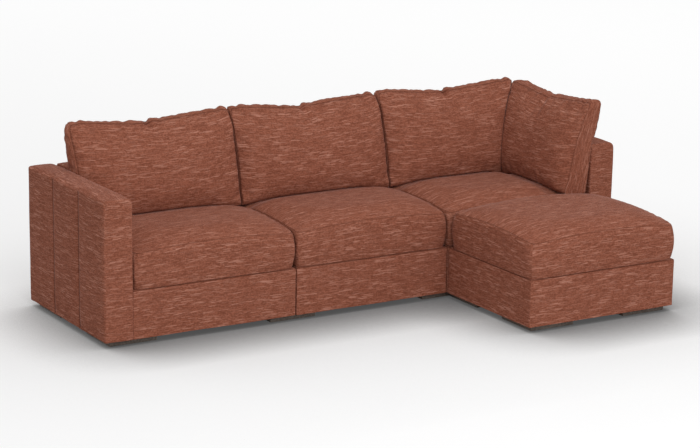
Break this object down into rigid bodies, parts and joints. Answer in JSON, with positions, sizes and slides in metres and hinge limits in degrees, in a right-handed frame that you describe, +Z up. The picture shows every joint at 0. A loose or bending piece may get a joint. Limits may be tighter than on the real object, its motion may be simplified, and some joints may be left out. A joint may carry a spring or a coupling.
{
  "type": "sectional sofa with chaise",
  "caption": "Low modular sofa with box seats, straight arms, loose seat cushions and leaning pillows; a box seat in front of the right end makes the chaise.",
  "frame": {"origin": "middle of the footprint, on the floor", "axes": "+X along the row to the right arm, seen from the front; +Y to the back; +Z up"},
  "size_m": [2.967, 1.622, 0.9581],
  "materials": {
    "cover_cloth": "matte",
    "foot_wood": "matte",
    "frame_wood": "matte",
    "webbing": "matte",
    "foam": "matte",
    "coupler_steel": "satin"
  },
  "bodies": {
    "modules": {"back_1_cover": "cover_cloth", "back_1_foam": "foam", "back_1_frame": "frame_wood", "back_2_cover": "cover_cloth", "back_2_foam": "foam", "back_2_frame": "frame_wood", "back_3_cover": "cover_cloth", "back_3_foam": "foam", "back_3_frame": "frame_wood", "chaise_cover": "cover_cloth", "chaise_frame": "frame_wood", "chaise_webbing": "webbing", "coupler_back_1": "coupler_steel", "coupler_back_2": "coupler_steel", "coupler_back_3": "coupler_steel", "coupler_back_4": "coupler_steel", "coupler_chaise_1": "coupler_steel", "coupler_chaise_2": "coupler_steel", "coupler_chaise_3": "coupler_steel", "coupler_chaise_4": "coupler_steel", "coupler_front_1": "coupler_steel", "coupler_front_2": "coupler_steel", "coupler_front_3": "coupler_steel", "coupler_front_4": "coupler_steel", "foot_back_1": "foot_wood", "foot_back_2": "foot_wood", "foot_back_3": "foot_wood", "foot_back_4": "foot_wood", "foot_chaise_1": "foot_wood", "foot_chaise_2": "foot_wood", "foot_chaise_3": "foot_wood", "foot_chaise_4": "foot_wood", "foot_front_1": "foot_wood", "foot_front_2": "foot_wood", "foot_front_3": "foot_wood", "foot_front_4": "foot_wood", "left_arm_cover": "cover_cloth", "left_arm_foam": "foam", "left_arm_frame": "frame_wood", "right_arm_cover": "cover_cloth", "right_arm_foam": "foam", "right_arm_frame": "frame_wood", "seat_1_cover": "cover_cloth", "seat_1_frame": "frame_wood", "seat_1_webbing": "webbing", "seat_2_cover": "cover_cloth", "seat_2_frame": "frame_wood", "seat_2_webbing": "webbing", "seat_3_cover": "cover_cloth", "seat_3_frame": "frame_wood", "seat_3_webbing": "webbing"},
    "seat_cushion_1": {"seat_cushion_1": "cover_cloth"},
    "seat_cushion_2": {"seat_cushion_2": "cover_cloth"},
    "seat_cushion_3": {"seat_cushion_3": "cover_cloth"},
    "chaise_cushion": {"chaise_cushion": "cover_cloth"},
    "back_pillow_1": {"back_pillow_1": "cover_cloth"},
    "back_pillow_2": {"back_pillow_2": "cover_cloth"},
    "back_pillow_3": {"back_pillow_3": "cover_cloth"},
    "side_pillow": {"side_pillow": "cover_cloth"}
  },
  "joints": [
    {"name": "seat_cushion_1_lift", "type": "slide", "parent": "modules", "child": "seat_cushion_1", "axis": [0, 0, 1], "range_m": [0, 0.5]},
    {"name": "seat_cushion_2_lift", "type": "slide", "parent": "modules", "child": "seat_cushion_2", "axis": [0, 0, 1], "range_m": [0, 0.5]},
    {"name": "seat_cushion_3_lift", "type": "slide", "parent": "modules", "child": "seat_cushion_3", "axis": [0, 0, 1], "range_m": [0, 0.5]},
    {"name": "chaise_cushion_lift", "type": "slide", "parent": "modules", "child": "chaise_cushion", "axis": [0, 0, 1], "range_m": [0, 0.3]},
    {"name": "back_pillow_1_lift", "type": "slide", "parent": "seat_cushion_1", "child": "back_pillow_1", "axis": [0, 0, 1], "range_m": [0, 0.3]},
    {"name": "back_pillow_2_lift", "type": "slide", "parent": "seat_cushion_2", "child": "back_pillow_2", "axis": [0, 0, 1], "range_m": [0, 0.3]},
    {"name": "back_pillow_3_lift", "type": "slide", "parent": "seat_cushion_3", "child": "back_pillow_3", "axis": [0, 0, 1], "range_m": [0, 0.3]},
    {"name": "side_pillow_lift", "type": "slide", "parent": "seat_cushion_3", "child": "side_pillow", "axis": [0, 0, 1], "range_m": [0, 0.3]}
  ]
}
